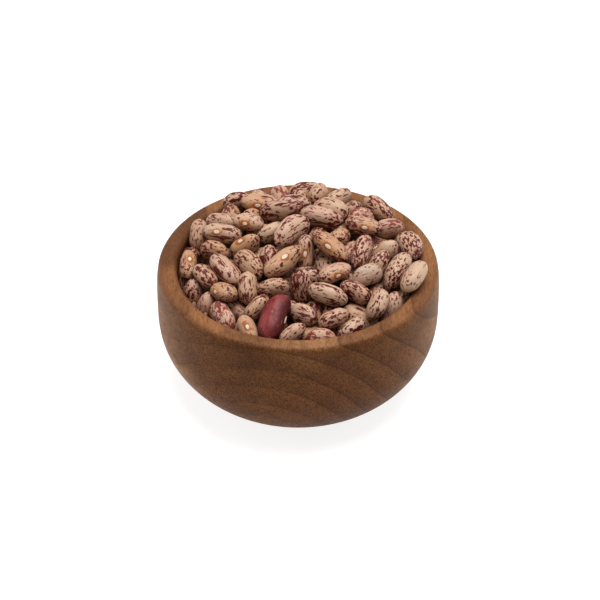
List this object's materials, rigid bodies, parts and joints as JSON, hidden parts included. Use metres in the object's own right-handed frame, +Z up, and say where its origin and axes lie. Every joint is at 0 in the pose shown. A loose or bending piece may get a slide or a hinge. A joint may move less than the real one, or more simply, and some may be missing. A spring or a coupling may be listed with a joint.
{
  "type": "bowl of dried beans",
  "caption": "Small turned wooden bowl heaped with dried speckled beans and one dark red kidney bean on top.",
  "frame": {"origin": "middle of the bowl's flat foot, on the surface that it stands on", "axes": "+Z up along the axis on which the bowl was turned, -Y towards the front, where the red bean lies, +X to the right"},
  "size_m": [0.094, 0.094, 0.0576],
  "materials": {
    "bowl_wood": "oiled brown hardwood, turned, satin",
    "speckled_skin": "dry bean skin, cream with maroon specks, satin",
    "red_skin": "dry bean skin, dark red, glossy"
  },
  "bodies": {
    "root": {"bowl": "bowl_wood", "beans": "speckled_skin", "kidney_bean": "red_skin"}
  },
  "joints": []
}
